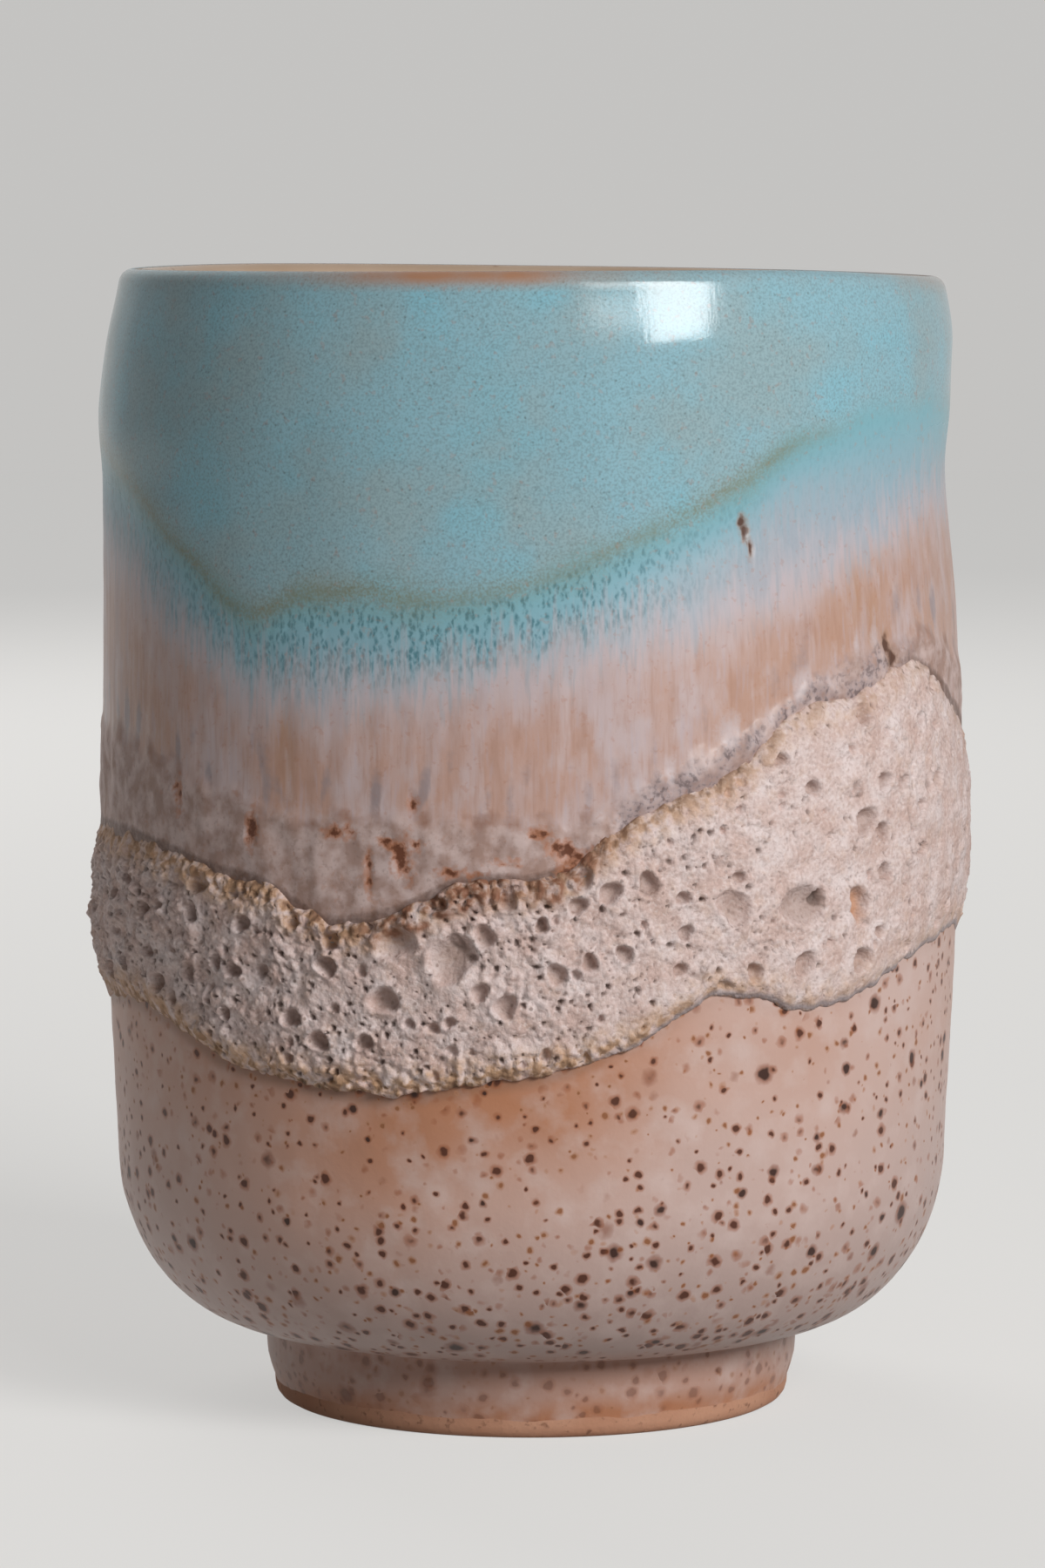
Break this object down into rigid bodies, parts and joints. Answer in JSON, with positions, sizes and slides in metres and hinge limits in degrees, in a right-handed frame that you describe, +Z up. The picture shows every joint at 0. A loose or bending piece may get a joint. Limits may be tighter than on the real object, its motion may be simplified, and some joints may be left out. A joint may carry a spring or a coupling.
{
  "type": "handleless mug",
  "caption": "Handleless stoneware cup with a gently waisted wall, turned foot ring, raised wavy band of crater slip and runny glaze dipped from the lip; holds a hot drink.",
  "frame": {"origin": "centre of the foot ring's lower face, on the table", "axes": "+Z up along the cup's axis, -Y towards the pictured front, +X to its right"},
  "size_m": [0.0818, 0.0817, 0.105],
  "materials": {
    "stoneware_clay": "matte",
    "bare_foot_clay": "matte",
    "speckled_satin_glaze": "satin",
    "crater_slip": "matte",
    "streaked_run_glaze": "satin",
    "turquoise_gloss_glaze": "gloss",
    "cream_liner_glaze": "gloss"
  },
  "bodies": {
    "root": {"clay_body": "stoneware_clay", "foot_ring": "bare_foot_clay", "speckled_glaze": "speckled_satin_glaze", "crater_band": "crater_slip", "streaked_glaze": "streaked_run_glaze", "turquoise_glaze": "turquoise_gloss_glaze", "liner_glaze": "cream_liner_glaze"}
  },
  "joints": []
}
